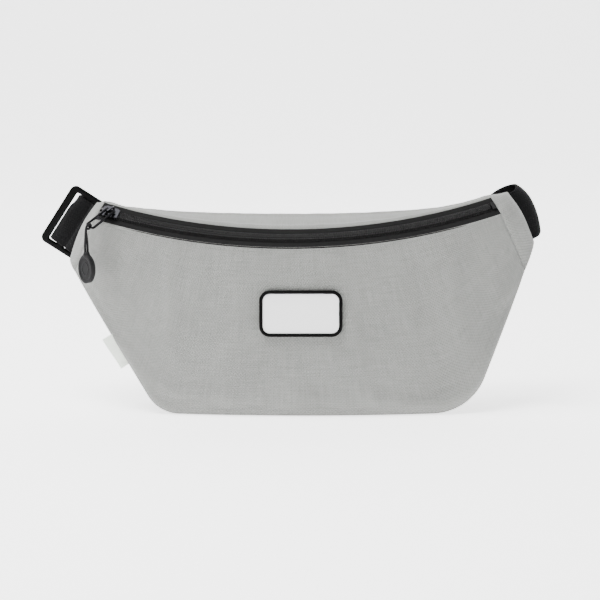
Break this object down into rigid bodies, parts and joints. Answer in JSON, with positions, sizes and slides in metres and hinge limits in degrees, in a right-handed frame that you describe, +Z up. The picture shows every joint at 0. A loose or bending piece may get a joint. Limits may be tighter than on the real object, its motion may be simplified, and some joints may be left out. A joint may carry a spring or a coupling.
{
  "type": "waist pack",
  "caption": "Soft zipped waist pack with a flat base, curved coil zip, blank framed badge, webbing belt with tri-glide and side-release buckle",
  "frame": {"origin": "on the underside of the base panel, below the middle of the bag", "axes": "+X along the bag to its right end seen from the front, front facing -Y, +Z up"},
  "size_m": [0.3638, 0.0806, 0.1566],
  "materials": {
    "grey_fabric": "plain woven polyester",
    "back_fabric": "plain woven polyester",
    "lining_fabric": "thin woven lining",
    "foam": "soft padding",
    "zip_tape": "woven tape",
    "zip_coil": "satin coil",
    "dark_metal": "dark plated metal",
    "tag_rubber": "moulded, matte",
    "cord": "braided cord",
    "black_plastic": "moulded, satin",
    "badge_white": "blank white plate",
    "black_webbing": "woven webbing",
    "label_fabric": "folded woven label, blank"
  },
  "bodies": {
    "bag": {"front_panel": "grey_fabric", "base_panel": "grey_fabric", "top_panel": "grey_fabric", "back_panel": "back_fabric", "left_end_cap": "grey_fabric", "right_end_cap": "grey_fabric", "front_foam": "foam", "back_foam": "foam", "lining": "lining_fabric", "zip_tape_lower": "zip_tape", "zip_tape_upper": "zip_tape", "zip_coil_lower": "zip_coil", "zip_coil_upper": "zip_coil", "zip_top_stop_lower": "dark_metal", "zip_top_stop_upper": "dark_metal", "zip_bottom_stop": "dark_metal", "badge_frame": "black_plastic", "badge_plate": "badge_white", "side_label": "label_fabric", "left_webbing_anchor": "black_webbing", "right_webbing_anchor": "black_webbing"},
    "slider": {"slider_body": "dark_metal", "slider_bridge": "dark_metal"},
    "pull_tab": {"pull_tab": "dark_metal"},
    "puller": {"puller_cord": "cord", "puller_disc": "tag_rubber"},
    "tri_glide": {"tri_glide": "black_plastic"},
    "left_belt": {"left_belt_webbing": "black_webbing", "elastic_keeper": "zip_tape"},
    "male_buckle": {"male_buckle": "black_plastic"},
    "male_arm_upper": {"male_arm_upper": "black_plastic"},
    "male_arm_lower": {"male_arm_lower": "black_plastic"},
    "right_belt": {"right_belt_webbing": "black_webbing"},
    "female_buckle": {"female_buckle": "black_plastic"}
  },
  "joints": [
    {"name": "slider_travel", "type": "hinge", "parent": "bag", "child": "slider", "pos_m": [-0.011, 0.25082, 0.39582], "axis": [0, -0.7071, 0.7071], "range_deg": [0, 39.7]},
    {"name": "pull_tab_flip", "type": "hinge", "parent": "slider", "child": "pull_tab", "pos_m": [-0.13691, -0.00792, 0.14302], "axis": [-0.8272, 0.3974, 0.3974], "range_deg": [0, 100]},
    {"name": "puller_swing", "type": "hinge", "parent": "pull_tab", "child": "puller", "pos_m": [-0.1497, -0.02524, 0.13373], "axis": [-0.8272, 0.3974, 0.3974], "range_deg": [-12, 30]},
    {"name": "tri_glide_tilt", "type": "hinge", "parent": "bag", "child": "tri_glide", "pos_m": [-0.16746, 0.0295, 0.12985], "axis": [0.5446, 0, 0.8387], "range_deg": [-5, 15]},
    {"name": "left_belt_swing", "type": "hinge", "parent": "bag", "child": "left_belt", "pos_m": [-0.16939, 0.03585, 0.1311], "axis": [0.5446, 0, 0.8387], "range_deg": [0, 160]},
    {"name": "male_buckle_tilt", "type": "hinge", "parent": "left_belt", "child": "male_buckle", "pos_m": [-0.06104, 0.0386, 0.06073], "axis": [0.5446, 0, 0.8387], "range_deg": [-8, 30]},
    {"name": "male_arm_upper_flex", "type": "hinge", "parent": "male_buckle", "child": "male_arm_upper", "pos_m": [-0.03337, 0.0386, 0.06184], "axis": [0, 1, 0], "range_deg": [0, 6], "stiffness_Nm_per_rad": 0.5},
    {"name": "male_arm_lower_flex", "type": "hinge", "parent": "male_buckle", "child": "male_arm_lower", "pos_m": [-0.0508, 0.0386, 0.03501], "axis": [0, 1, 0], "range_deg": [-6, 0], "stiffness_Nm_per_rad": 0.5},
    {"name": "right_belt_swing", "type": "hinge", "parent": "bag", "child": "right_belt", "pos_m": [0.15706, 0.035, 0.13563], "axis": [0.4848, 0, -0.8746], "range_deg": [0, 160]},
    {"name": "female_buckle_tilt", "type": "hinge", "parent": "right_belt", "child": "female_buckle", "pos_m": [0.05779, 0.03775, 0.0806], "axis": [0.4848, 0, -0.8746], "range_deg": [-5, 30]}
  ]
}
